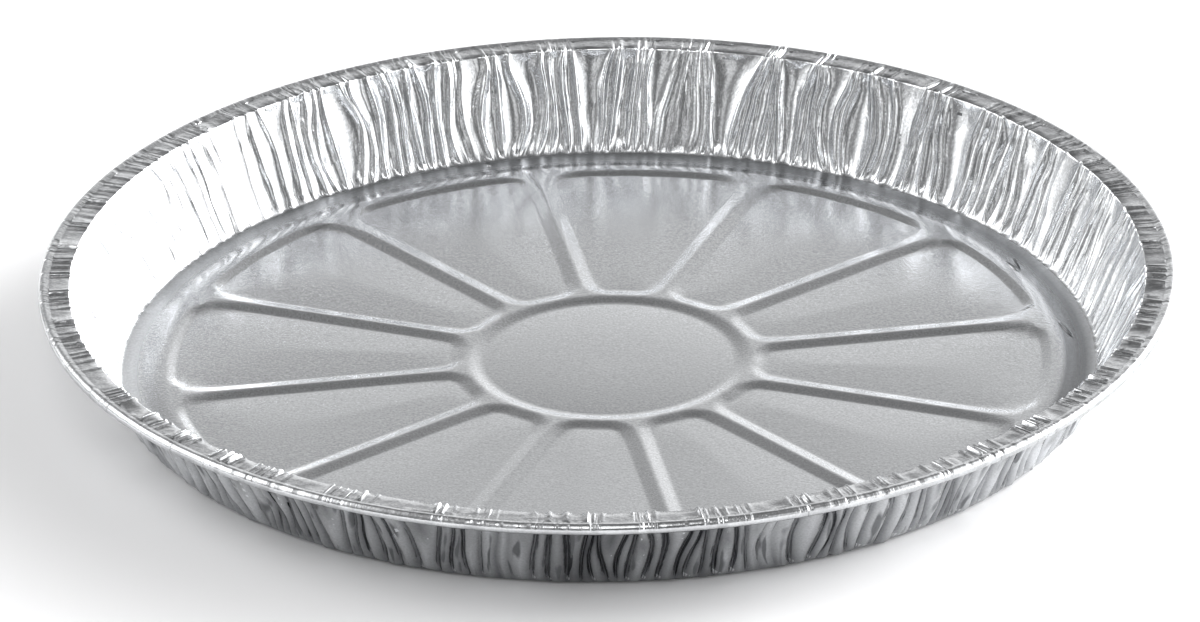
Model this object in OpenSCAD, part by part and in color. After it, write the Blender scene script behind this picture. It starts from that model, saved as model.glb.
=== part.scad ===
// Foil pie tin: one sheet of thin aluminium pressed into a shallow round dish.
// The floor carries a web of raised ribs, the wall is gathered into pleats, and
// the rim is a flat shelf that ends in a rolled bead.
// Millimetres, +Z up. The floor rests on Z = 0 and the dish is round about Z.

/* [Overall] */
// Diameter over the rolled rim
rim_d = 300; // [285:1:340]
// Height from the table to the top of the roll
depth = 26.8; // [15:0.2:60]
// Thickness of the foil
foil_t = 0.1; // [0.06:0.01:0.3]

/* [Floor] */
// Diameter where the line of the wall meets the table
base_d = 258.6; // [250:0.2:272]
// Radius of the bend between floor and wall
foot_r = 1.5; // [0.5:0.1:4]

/* [Ribs] */
// Number of radial ribs
rib_count = 12; // [4:1:16]
// Width of every rib where it leaves the floor
rib_w = 8; // [4:0.5:12]
// Width of the flat crest of every rib
rib_crest_w = 1.2; // [0.4:0.1:3]
// Height of every rib above the floor
rib_h = 0.8; // [0.3:0.1:3]
// Crest diameter of the small ring that the radial ribs start from
hub_ring_d = 75.2; // [56:0.2:110]
// Crest diameter of the large ring that the radial ribs run out to
outer_ring_d = 235; // [200:1:240]
// Corner radius of a floor panel at the large ring
panel_rim_corner_r = 8; // [2:0.5:14]
// Corner radius of a floor panel at the small ring
panel_hub_corner_r = 4; // [1:0.5:6]

/* [Wall] */
// Number of pleats round the wall
pleat_count = 112; // [60:1:144]
// Depth of a full pleat, from its crest to its valley
pleat_depth = 1.4; // [0.2:0.1:3]
// Length over which a pleat dies out above the foot and below the shelf
pleat_fade = 2.6; // [1:0.1:6]
// How far a fold strays sideways, as a share of the space between two folds
pleat_stray = 0.4; // [0:0.05:0.45]
// Smallest pleat, as a share of a full one
pleat_least = 0.35; // [0.1:0.05:1]

/* [Rim] */
// Width of the flat shelf between the wall and the roll
shelf_w = 5.9; // [2:0.1:10]
// Depth of the creases where the pleats run out over the shelf
shelf_crease = 0.35; // [0:0.05:1]
// Outside diameter of the roll
roll_d = 3; // [1.6:0.1:6]
// Height of the roll above the shelf
roll_rise = 0.4; // [0.1:0.1:0.7]
// Angle through which the edge of the foil is rolled
roll_turn = 300; // [180:5:320]

/* [Hidden] */
roll_columns = 72;
roll_steps = 6;
ring_facets = 84;
rim_corner_steps = 3;
hub_corner_steps = 2;
panel_rim_steps = 5;
panel_hub_steps = 2;
pleat_seed = 7;

rim_r = rim_d / 2;
base_r = base_d / 2;
hub_ring_r = hub_ring_d / 2;
outer_ring_r = outer_ring_d / 2;
roll_r = roll_d / 2;

// The roll stands a little above the shelf, so its arc starts past the top.
shelf_z = depth - roll_rise;
roll_centre = [rim_r - roll_r, depth - roll_r];
roll_start = roll_angle(roll_r, shelf_z);
roll_end = roll_start - roll_turn;
roll_upper = arc(roll_centre, roll_r, roll_start, roll_end, roll_steps);
roll_lower = arc(
    roll_centre,
    roll_r - foil_t,
    roll_angle(roll_r - foil_t, shelf_z - foil_t),
    roll_end,
    roll_steps
);

// The line of the wall, from the table up to the underside of the shelf.
wall_foot = [base_r, 0];
wall_head = [roll_upper[0].x - shelf_w, shelf_z - foil_t];
wall_dir = unit(wall_head - wall_foot);
wall_in = left_of(wall_dir);
foot_bend = foot_r * tan(atan2(wall_dir.y, wall_dir.x) / 2);

// The lower skin from the floor to the shelf, as [radius, height].
wall_lower = [
    [base_r - foot_bend, 0],
    wall_foot + foot_bend * wall_dir,
    wall_foot + (foot_bend + pleat_fade) * wall_dir,
    wall_head - pleat_fade * wall_dir,
    wall_head,
];
wall_rings = len(wall_lower);
wall_upper = [for (k = [0:wall_rings - 1]) upper_skin(concat(wall_lower, [roll_lower[0]]), k)];

// What the pleats do at each ring of the wall: their share of the full depth,
// of the sideways stray and of the shelf's crease, and whether the ring takes
// its sizes from the upper end of the pleats.
pleat_share = [0, 0, 1, 1, 0.6];
stray_share = [0, 0, 1, 1, 1];
crease_share = [0, 0, 0, 0, 1];
at_head = [false, false, false, true, true];

// A pleat is a crest and a valley, so it takes two columns of points.
columns = 2 * pleat_count;
low_stray = rands(-1, 1, columns, pleat_seed);
high_stray = rands(-1, 1, columns, pleat_seed + 1);
low_size = rands(pleat_least, 1, columns, pleat_seed + 2);
high_size = rands(pleat_least, 1, columns, pleat_seed + 3);

// Centres of a floor panel's corner arcs, set off from the middle of the rib.
rim_corner_off = panel_rim_corner_r + rib_w / 2;
hub_corner_off = panel_hub_corner_r + rib_w / 2;
rim_corner_at = outer_ring_r - rim_corner_off;
hub_corner_at = hub_ring_r + hub_corner_off;
rim_corner_angle = asin(rim_corner_off / rim_corner_at);
hub_corner_angle = asin(hub_corner_off / hub_corner_at);
panel_angle = 360 / rib_count;

function unit(v) = v / norm(v);

// Direction a quarter turn to the left of v.
function left_of(v) = [-v.y, v.x];

function polar(radius, angle) = [radius * cos(angle), radius * sin(angle)];

// Angle at which a circle about the roll's centre reaches height z, on the
// side of the shelf.
function roll_angle(radius, z) = 180 - asin((z - roll_centre.y) / radius);

// Points of an arc, both ends included.
function arc(centre, radius, from, to, steps) =
    [for (i = [0:steps]) centre + polar(radius, from + (to - from) * i / steps)];

// Direction from one point of a path to the next. Before its first point a
// path runs level.
function step_dir(path, i) = i < 0 ? [1, 0] : unit(path[i + 1] - path[i]);

// Point i of a path moved to its left by the foil's thickness, mitred so that
// the two skins stay parallel on both sides of each bend.
function upper_skin(path, i) =
    let (before = left_of(step_dir(path, i - 1)), after = left_of(step_dir(path, i)))
    path[i] + foil_t * (before + after) / (1 + before * after);

// Signed size of the fold at a column: crests point inwards, valleys outwards.
function fold_size(ring, column) =
    (at_head[ring] ? high_size : low_size)[column] * (column % 2 == 0 ? 0.5 : -0.5);

function column_angle(ring, column) =
    let (stray = (at_head[ring] ? high_stray : low_stray)[column])
    360 / columns * (column + pleat_stray * stray_share[ring] * stray);

// A point of one skin of the wall, with the fold of its column laid on it.
function pleated(skin, ring, column) =
    let (
        fold = fold_size(ring, column),
        push = crease_share[ring] > 0 ? [-1, 0] : wall_in,
        moved = skin[ring] + pleat_share[ring] * pleat_depth * fold * push,
        dip = crease_share[ring] * shelf_crease * (0.5 - fold)
    )
    lifted(polar(moved.x, column_angle(ring, column)), moved.y - dip);

function lifted(plan, z) = [plan.x, plan.y, z];

// One skin of the whole sheet past the floor: the wall's rings, then the roll's.
function skin_points(wall, rolled) = [
    for (ring = [0:wall_rings - 1], i = [0:columns - 1]) pleated(wall, ring, i),
    for (p = rolled, i = [0:roll_columns - 1]) lifted(polar(p.x, 360 / roll_columns * i), p.y),
];

// Triangles between two closed rings of equally many points. first and second
// are the rings' first points, and their order sets the side that faces out.
function strip(first, second, count) = [
    for (i = [0:count - 1])
        let (j = (i + 1) % count)
        each [[first + i, first + j, second + j], [first + i, second + j, second + i]]
];

// Triangles between a ring of many points and a ring of fewer.
function gather(first, many, second, few) =
    let (partner = [for (i = [0:many]) second + floor((i + 0.5) * few / many) % few])
    [
        for (i = [0:many - 1])
            let (f = first + i, g = first + (i + 1) % many)
            each concat(
                [[f, g, partner[i]]],
                partner[i] == partner[i + 1] ? [] : [[g, partner[i + 1], partner[i]]]
            )
    ];

// Faces of one skin, whose points start at first, with its normals up and in.
function skin_faces(first) =
    let (rolled = first + wall_rings * columns)
    concat(
        [[for (i = [0:columns - 1]) first + columns - 1 - i]],
        [for (k = [0:wall_rings - 2])
            each strip(first + k * columns, first + (k + 1) * columns, columns)],
        gather(rolled - columns, columns, rolled, roll_columns),
        [for (k = [0:roll_steps - 1])
            each strip(rolled + k * roll_columns, rolled + (k + 1) * roll_columns, roll_columns)]
    );

function turned_over(faces) = [for (f = faces) [for (i = [1:len(f)]) f[len(f) - i]]];

// Outline of a floor panel between a rib along X and the next one, set in from
// the middle of the ribs around it. Outlines at all insets have parallel edges.
function panel_outline(inset) =
    let (
        rim_r0 = rim_corner_off - inset,
        hub_r0 = hub_corner_off - inset,
        rim_near = rim_corner_angle,
        rim_far = panel_angle - rim_corner_angle,
        hub_near = hub_corner_angle,
        hub_far = panel_angle - hub_corner_angle,
        rim_arc = arc([0, 0], outer_ring_r - inset, rim_near, rim_far, panel_rim_steps),
        hub_arc = arc([0, 0], hub_ring_r + inset, hub_far, hub_near, panel_hub_steps)
    )
    concat(
        arc(polar(hub_corner_at, hub_near), hub_r0, 180 + hub_near, 270, hub_corner_steps),
        arc(polar(rim_corner_at, rim_near), rim_r0, -90, rim_near, rim_corner_steps),
        [for (i = [1:panel_rim_steps - 1]) rim_arc[i]],
        arc(polar(rim_corner_at, rim_far), rim_r0, rim_far, panel_angle + 90, rim_corner_steps),
        arc(polar(hub_corner_at, hub_far), hub_r0, panel_angle + 90, 180 + hub_far, hub_corner_steps),
        [for (i = [1:panel_hub_steps - 1]) hub_arc[i]]
    );

// Half the width of a rib at a height above the floor.
function rib_half(z) = rib_w / 2 - (rib_w - rib_crest_w) / 2 * z / rib_h;

// Solid between two outlines with as many points, at the heights low and high.
module loft(outline_low, outline_high, low, high) {
    count = len(outline_low);
    polyhedron(
        points = concat(
            [for (p = outline_low) [p.x, p.y, low]],
            [for (p = outline_high) [p.x, p.y, high]]
        ),
        faces = concat(
            [[for (i = [0:count - 1]) i]],
            [[for (i = [0:count - 1]) 2 * count - 1 - i]],
            strip(count, 0, count)
        )
    );
}

// The hollow over one floor panel, from below the floor to above the ribs.
module panel_hollow(low, high) {
    loft(panel_outline(rib_half(low)), panel_outline(rib_half(high)), low, high);
}

// The ribs as one solid: a low plateau with every panel hollowed out of it. It
// reaches half a foil's thickness below the floor.
module rib_web() {
    skirt = foil_t / 2;
    difference() {
        translate([0, 0, -skirt])
            cylinder(
                h = rib_h + skirt,
                r1 = outer_ring_r + rib_half(-skirt),
                r2 = outer_ring_r + rib_half(rib_h),
                $fn = ring_facets
            );
        translate([0, 0, -2 * skirt])
            cylinder(
                h = rib_h + 3 * skirt,
                r1 = hub_ring_r - rib_half(-2 * skirt),
                r2 = hub_ring_r - rib_half(rib_h + skirt),
                $fn = ring_facets
            );
        for (i = [0:rib_count - 1])
            rotate([0, 0, i * panel_angle]) panel_hollow(-2 * skirt, rib_h + skirt);
    }
}

// The sheet without its ribs: floor, foot, pleated wall, shelf and roll, as two
// skins that meet along the rolled edge.
module dish() {
    lower = skin_points(wall_lower, roll_lower);
    upper = skin_points(wall_upper, roll_upper);
    edge = len(lower) - roll_columns;
    polyhedron(
        points = concat(lower, upper),
        faces = concat(
            turned_over(skin_faces(0)),
            strip(edge + len(lower), edge, roll_columns),
            skin_faces(len(lower))
        )
    );
}

// The pressed sheet. Its ribs are raised on top and hollow underneath.
module foil_tin() {
    color("silver")
        difference() {
            union() {
                dish();
                translate([0, 0, foil_t]) rib_web();
            }
            rib_web();
        }
}

foil_tin();
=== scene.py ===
"""The looks of a foil pie tin.

The tin is one sheet of thin aluminium, pressed into a shallow round dish: a
floor with a web of raised ribs, a wall gathered into folds, a flat shelf and
a rolled rim. Lengths are in millimetres up to the point where a mesh is made.
"""

import logging
import math
from dataclasses import dataclass, field
from enum import Enum

import bpy
import numpy as np
from mathutils import Matrix, Vector
from numpy.typing import NDArray


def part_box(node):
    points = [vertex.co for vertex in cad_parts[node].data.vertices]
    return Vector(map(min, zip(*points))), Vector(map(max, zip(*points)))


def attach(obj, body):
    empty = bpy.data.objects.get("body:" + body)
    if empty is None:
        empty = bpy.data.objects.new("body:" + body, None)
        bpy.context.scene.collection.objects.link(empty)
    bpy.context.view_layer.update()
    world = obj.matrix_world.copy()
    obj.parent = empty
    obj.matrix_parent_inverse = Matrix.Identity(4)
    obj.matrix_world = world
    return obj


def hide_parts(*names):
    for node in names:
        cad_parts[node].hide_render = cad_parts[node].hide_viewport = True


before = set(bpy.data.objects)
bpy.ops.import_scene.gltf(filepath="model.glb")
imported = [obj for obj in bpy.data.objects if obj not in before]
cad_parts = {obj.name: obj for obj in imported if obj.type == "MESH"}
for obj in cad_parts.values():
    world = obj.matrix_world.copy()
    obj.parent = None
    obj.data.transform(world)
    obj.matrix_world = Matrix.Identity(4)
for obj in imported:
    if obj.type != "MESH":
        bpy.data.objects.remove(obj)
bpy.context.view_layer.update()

Array = NDArray[np.float64]
Faces = NDArray[np.int64]
Range = tuple[float, float]
Colour = tuple[float, float, float]
Socket = bpy.types.NodeSocket

MM = 0.001
VIEW_AZIMUTH = math.radians(-9.07)
FRONT = VIEW_AZIMUTH - math.pi / 2
LOG = logging.getLogger("foil_tin")


class PointMark(Enum):
    """What the points of the sheet tell its finish, by the name of the mesh attribute."""

    UNROLLED = "unrolled"
    DRAWN = "drawn"
    OUTER = "outer"
    MARGIN = "margin"
    CRUMPLED = "crumpled"
    # Painted shade: how much each point's colour is darkened, most in the folds.
    PAINTED_SHADE = "hollow"


def smooth(x: Array | float) -> Array | float:
    """A step from 0 to 1 that starts and ends level: 3x^2 - 2x^3."""
    x = np.clip(x, 0.0, 1.0)
    return x * x * (3.0 - 2.0 * x)


def rise(x: Array | float, start: Array | float, run: float) -> Array | float:
    """The smooth step of x from a start over a run."""
    return smooth((x - start) / run)


def bell(x: Array) -> Array:
    """A smooth hump of height 1 and unit spread: exp(-x^2 / 2)."""
    return np.exp(-0.5 * x * x)


def turn_between(a: Array, b: Array | float) -> Array:
    """Signed angle from b to a, the short way round, in radians."""
    return (a - b + np.pi) % (2.0 * np.pi) - np.pi


def rounded_corner(a: Array, b: Array, radius: float) -> Array:
    """Distance outside the corner where a <= 0 meets b <= 0, rounded inside by a radius.

    Args:
        a: Distance beyond the first edge, negative inside.
        b: Distance beyond the second edge, negative inside.
        radius: Radius of the corner.

    Returns:
        Both distances are moved in by the radius. Past both edges it is the
        length of the pair, elsewhere the larger of the two, less the radius.
    """
    a = a + radius
    b = b + radius
    inside = np.minimum(np.maximum(a, b), 0.0)
    return inside + np.hypot(np.maximum(a, 0.0), np.maximum(b, 0.0)) - radius


def bend(corner: Array, before: Array, after: Array, radius: float, steps: int) -> Array:
    """Arc that rounds a corner of a section.

    Args:
        corner: The corner, as radius and height.
        before: Unit direction of the run that ends there.
        after: Unit direction of the run that starts there.
        radius: Radius of the arc.
        steps: Number of steps along it.

    Returns:
        Points of the arc that touches both runs, as an array of pairs.
    """
    turn = math.atan2(before[0] * after[1] - before[1] * after[0], float(before @ after))
    side = math.copysign(1.0, turn)
    centre = corner - before * radius * math.tan(abs(turn) / 2) + side * radius * quarter_turn(before)
    first = math.atan2(before[1], before[0]) - side * math.pi / 2
    angles = first + np.linspace(0.0, turn, steps + 1)
    return centre + radius * np.stack([np.cos(angles), np.sin(angles)], axis=1)


def quarter_turn(v: Array) -> Array:
    """The direction a quarter turn to the left of v."""
    return np.array([-v[1], v[0]])


@dataclass(frozen=True)
class TinSize:
    """Sizes that the parts of the sheet share."""

    rim_r: float
    depth: float
    foil_t: float = 0.1
    base_r: float = 129.3
    foot_inset: float = 0.06
    foot_r: float = 1.5
    margin_rise: float = 0.3
    margin_power: float = 1.5
    margin_w: float = 5.4
    # Painted shade on the floor's margin, darker on the right side than on the left.
    margin_shade: float = 0.74
    left_shade: float = 0.06
    shade_power: float = 1.5
    head_r: float = 0.7
    shelf_w: float = 5.9
    roll_r: float = 1.5
    roll_rise: float = 0.4
    roll_turn: float = math.radians(300)

    @property
    def shelf_z(self) -> float:
        """Height of the shelf's upper face."""
        return self.depth - self.roll_rise

    @property
    def roll_centre(self) -> Array:
        """Middle of the roll's section, as radius and height."""
        return np.array([self.rim_r - self.roll_r, self.depth - self.roll_r])

    @property
    def roll_start(self) -> float:
        """Angle on the roll's section where the shelf runs into it."""
        return math.pi - math.asin((self.shelf_z - self.roll_centre[1]) / self.roll_r)

    @property
    def head_corner(self) -> Array:
        """Corner between the wall and the shelf on the upper face."""
        shelf_end = self.roll_centre[0] + self.roll_r * math.cos(self.roll_start)
        return np.array([shelf_end - self.shelf_w, self.shelf_z])

    @property
    def foot_corner(self) -> Array:
        """Corner between the floor and the wall on the upper face."""
        return np.array([self.base_r - self.foot_inset, self.foil_t + self.margin_rise])

    @property
    def margin_dir(self) -> Array:
        """Unit direction up the floor's margin where it ends, as radius and height."""
        run = np.array([self.margin_w, self.margin_power * self.margin_rise])
        return run / np.hypot(run[0], run[1])

    def margin_height(self, r: Array | float) -> Array | float:
        """Rise of the floor's margin: its whole rise times a power of the share of its width."""
        start = self.base_r - self.margin_w
        return self.margin_rise * np.clip((r - start) / self.margin_w, 0.0, 1.0) ** self.margin_power

    def margin_painted_shade(self, angles: Array) -> Array:
        """How much shade is painted on the floor's margin, by a power of (1 + cosine) / 2 of the turn from
        the right, so it is darker on the right.
        """
        to_right = (0.5 + 0.5 * np.cos(angles - VIEW_AZIMUTH)) ** self.shade_power
        return self.margin_shade * (self.left_shade + (1.0 - self.left_shade) * to_right)

    @property
    def wall_dir(self) -> Array:
        """Unit direction up the wall, as radius and height."""
        run = self.head_corner - self.foot_corner
        return run / np.hypot(run[0], run[1])

    @property
    def wall_length(self) -> float:
        """Length of the wall's section between its two corners."""
        run = self.head_corner - self.foot_corner
        return float(np.hypot(run[0], run[1]))


@dataclass
class Skin:
    """The upper face of the sheet, as closed rings of points from the middle outwards.

    Each point also has painted shade for each face, from 0 on open foil to 1 deep in a fold,
    where light is lost between the fold's two sides; the finish darkens the foil's colour by it.
    """

    rings: list[Array] = field(default_factory=list)
    above: list[Array] = field(default_factory=list)
    below: list[Array] = field(default_factory=list)

    def add(self, points: Array, below: Array | float = 0.0, above: Array | float = 0.0) -> None:
        """Adds the next ring.

        Args:
            points: The ring's points.
            below: Their painted shade on the lower face.
            above: Their painted shade on the upper face.
        """
        self.rings.append(points)
        self.below.append(np.broadcast_to(below, len(points)).astype(float))
        self.above.append(np.broadcast_to(above, len(points)).astype(float))

    def starts(self) -> list[int]:
        """Number of the first point of each ring."""
        counts = [len(r) for r in self.rings]
        return [0, *np.cumsum(counts)[:-1].tolist()]

    def faces(self) -> tuple[Faces, Faces]:
        """Quads and triangles between neighbouring rings.

        Returns:
            Two arrays of point numbers, four and three to a row. Rings with
            equally many points are joined by quads, and a ring with several
            times as many points as the next is gathered by fans.
        """
        quads: list[Faces] = []
        tris: list[Faces] = []
        first = self.starts()
        for k in range(len(self.rings) - 1):
            n, m = len(self.rings[k]), len(self.rings[k + 1])
            if n == m:
                i = np.arange(n)
                j = (i + 1) % n
                quads.append(np.stack([first[k] + i, first[k + 1] + i, first[k + 1] + j, first[k] + j], 1))
            elif n < m:
                tris.append(self._fans(first[k], n, first[k + 1], m, widens=True))
            else:
                tris.append(self._fans(first[k + 1], m, first[k], n, widens=False))
        return np.concatenate(quads), np.concatenate(tris)

    @staticmethod
    def _fans(few_first: int, few: int, many_first: int, many: int, widens: bool) -> Faces:
        """Triangles between a ring of few points and one with a multiple of them.

        Args:
            few_first: Number of the first point of the small ring.
            few: How many points it has.
            many_first: Number of the first point of the large ring.
            many: How many points it has.
            widens: Whether the small ring is the inner one.

        Returns:
            Each point of the large ring is joined with the nearest of the
            small one, and a triangle closes the gap where that changes.
        """
        i = np.arange(many)
        near = ((i + 0.5) * few / many).astype(int) % few
        after = np.roll(near, -1)
        a = np.stack([few_first + near, many_first + i, many_first + (i + 1) % many], 1)
        changes = near != after
        b = np.stack([few_first + near, many_first + (i + 1) % many, few_first + after], 1)[changes]
        faces = np.concatenate([a, b]) if few > 1 else a
        return faces if widens else faces[:, ::-1]


@dataclass
class RibbedFloor:
    """The floor: flat panels between a small ring, radial ribs and a large ring.

    The slopes of the ribs narrow from slope_w to ring_slope_w over blend_w,
    which starts blend_lead inside the large ring.
    """

    size: TinSize
    ribs: int = 12
    rib_w: float = 8.0
    rib_h: float = 0.78
    slope_w: float = 3.9
    ring_slope_w: float = 2.9
    ring_outer_w: float = 4.6
    blend_lead: float = 15.0
    blend_w: float = 9.0
    ease: float = 0.14
    hub_r: float = 37.6
    ring_r: float = 118.9
    ring_w: float = 9.2
    rim_corner_r: float = 8.0
    hub_corner_r: float = 4.0
    crown: float = 0.5
    hub_crown: float = 0.8
    crown_reach: float = 28.0
    outer_r: float = 125.2
    # Width over which shade is painted onto the margin past the large ring rib.
    margin_shade_w: float = 2.0
    half_sector: int = 18
    near_offsets: tuple[float, ...] = (0.0, 0.25, 0.65, 1.4, 2.4, 3.4, 3.85, 4.25, 5.2)
    near_most: float = 0.6
    spread_w: float = 15.0
    spread_most: float = 1.6
    pole_radii: tuple[float, ...] = (5.0, 10.0)
    pole_columns: int = 24
    disc_radii: tuple[float, ...] = (16.0, 22.0, 27.0, 31.0)
    disc_columns: int = 96
    hub_step: float = 1.0
    hub_rings: int = 12
    panel_steps: int = 8
    even_share: float = 0.45
    ring_lead: float = 3.4
    slope_shares: tuple[float, ...] = (-0.08, 0.04, 0.2, 0.5, 0.85, 1.03)
    turn_lead: float = 0.5

    def columns(self) -> int:
        """Number of points in a ring of the ribbed part."""
        return 2 * self.ribs * self.half_sector

    def angles(self, r: float) -> Array:
        """Angles of a ring's points.

        Args:
            r: Radius of the ring.

        Returns:
            Near a rib the points keep their distance from its middle, and
            past that they spread to the middle of the panel, wider and wider.
        """
        half = r * math.sin(math.pi / self.ribs)
        near = np.array(self.near_offsets)
        if near[-1] > self.near_most * half:
            near = near * self.near_most * half / near[-1]
        past = self.half_sector - len(near) + 1
        spread = max(1.0, min(self.spread_most, (half - near[-1]) / self.spread_w))
        far = near[-1] + (half - near[-1]) * (np.arange(1, past + 1) / past) ** spread
        offsets = np.concatenate([near, far])
        one_side = np.arcsin(np.clip(offsets / r, 0.0, math.sin(math.pi / self.ribs)))
        other_side = -one_side[-2:0:-1]
        sector = np.concatenate([one_side, other_side + 2.0 * math.pi / self.ribs])
        starts = 2.0 * np.pi * np.arange(self.ribs) / self.ribs
        return (starts[:, None] + sector[None, :]).ravel()

    def height(self, x: Array, y: Array) -> Array:
        """Height of the upper face over a place on the floor.

        Args:
            x: Place along X.
            y: Place along Y.

        Returns:
            The distance outside the panels, as a share of a slope's width,
            goes up a straight ramp with short rounded ends, so each side of a
            rib is one clear line of light or shade. Panels and disc are crowned.
        """
        r = np.hypot(x, y)
        step = 2.0 * np.pi / self.ribs
        angle = np.arctan2(y, x)
        off = np.abs(r * np.sin(turn_between(angle, np.round(angle / step) * step)))
        half = self.rib_w / 2
        beyond_rib = half - off
        panel_end = self.ring_r - self.ring_w / 2
        at_rim = rounded_corner(beyond_rib, r - panel_end, self.rim_corner_r)
        at_hub = rounded_corner(beyond_rib, (self.hub_r + half) - r, self.hub_corner_r)
        panel = np.maximum(at_rim, at_hub)
        disc = r - (self.hub_r - half)
        rim = (self.ring_r + self.ring_w / 2) - r
        narrowed = rise(r, self.ring_r - self.blend_lead, self.blend_w)
        slope = self.slope_w - (self.slope_w - self.ring_slope_w) * narrowed
        apart = np.minimum(np.minimum(panel, disc) / slope, rim / self.ring_outer_w)
        raised = self.rib_h * self._ramp(np.clip(apart, 0.0, 1.0))
        crown = self.crown * self._crowning(panel) + self.hub_crown * self._crowning(disc)
        return self.size.foil_t + raised + crown + self.size.margin_height(r)

    def _ramp(self, x: Array) -> Array:
        """A straight ramp with rounded ends.

        Args:
            x: How far along the ramp, from 0 to 1.

        Returns:
            Its height, from 0 to 1. At both ends it starts as t^2 / (2e) of the
            way t from the end, up to e.
        """
        e = self.ease
        low = np.minimum(x, e) ** 2 / (2.0 * e)
        high = np.maximum(x - (1.0 - e), 0.0) ** 2 / (2.0 * e)
        return (low + np.maximum(x - e, 0.0) - high) / (1.0 - e)

    def _crowning(self, outside: Array) -> Array:
        """How far a place is up its panel's crown: 1 - (1 - depth / reach)^2 of its depth inside."""
        depth = np.clip(-outside / self.crown_reach, 0.0, 1.0)
        return depth * (2.0 - depth)

    def ring(self, r: float, angles: Array) -> Array:
        """A ring of the floor.

        Args:
            r: Its radius.
            angles: Angles of its points.

        Returns:
            The points, at the floor's height.
        """
        x = r * np.cos(angles)
        y = r * np.sin(angles)
        return np.stack([x, y, self.height(x, y)], axis=1)

    def lay(self, skin: Skin, margin_angles: Array) -> None:
        """Adds the floor's rings, from the pole to the flat margin outside the ribs.

        Args:
            skin: The skin that the rings are added to.
            margin_angles: Angles of the wall's points, which the rings of the
                margin turn to step by step.
        """
        skin.add(self.ring(0.0, np.zeros(1)))
        for r in self.pole_radii:
            skin.add(self.ring(r, self._even(self.pole_columns)))
        for r in self.disc_radii:
            skin.add(self.ring(r, self._even(self.disc_columns)))
        target = margin_angles[:: len(margin_angles) // self.columns()]
        start = self.ring_r - self.turn_lead
        for r in self._ribbed_radii():
            own = self.angles(r)
            angles = own + rise(r, start, self.outer_r - start) * turn_between(target, own)
            # Painted shade on the margin, fading in past the large ring rib and darker on the right.
            dull_and_shade = rise(r, self.ring_r, self.margin_shade_w)
            skin.add(self.ring(r, angles), above=dull_and_shade * self.size.margin_painted_shade(angles))

    def _ribbed_radii(self) -> Array:
        """Where the rings of the ribbed part lie.

        Returns:
            Their radii, from the small ring rib out to the margin.
        """
        hub_start = self.hub_r - self.rib_w / 2 - self.hub_step
        hub = hub_start + self.hub_step * np.arange(self.hub_rings)
        ring = self._ring_radii()
        between = hub[-1] + (ring[0] - hub[-1]) * self._eased(self.panel_steps)
        return np.concatenate([hub, between[1:-1], ring, [self.outer_r]])

    def _ring_radii(self) -> Array:
        """Where the rings over the large ring rib lie.

        Returns:
            Their radii, closer together on its two slopes.
        """
        outside = self.ring_r + self.ring_w / 2
        inside = self.ring_r - self.ring_w / 2
        shares = np.array(self.slope_shares)
        inner = inside + self.ring_slope_w * shares
        outer = outside - self.ring_outer_w * shares[:-1]
        return np.concatenate([[inside - self.ring_lead], inner, outer[::-1]])

    @staticmethod
    def _even(count: int) -> Array:
        """Evenly spaced angles round a ring."""
        return 2.0 * np.pi * np.arange(count) / count

    def _eased(self, steps: int) -> Array:
        """Shares from 0 to 1, closer at both ends: even shares t mixed with their smooth step."""
        t = np.linspace(0.0, 1.0, steps + 1)
        return self.even_share * t + (1.0 - self.even_share) * smooth(t)


@dataclass(frozen=True)
class CreasePlan:
    """How the wall's creases are drawn. A pair is the least and the most of a random share."""

    count: int = 216
    bundles: int = 58
    lenses: int = 14
    seed: int = 5
    gaps: Range = (0.5, 1.5)
    bundle_gaps: Range = (0.35, 1.65)
    pulls: Range = (0.1, 0.6)
    sway: float = 0.26
    wave: float = 0.6
    sizes: Range = (0.55, 1.3)
    starts: Range = (0.0, 0.06)
    lens_pushes: Range = (0.5, 1.1)
    lens_push: float = math.radians(1.5)
    front_lens: float = math.radians(1.5)


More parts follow.
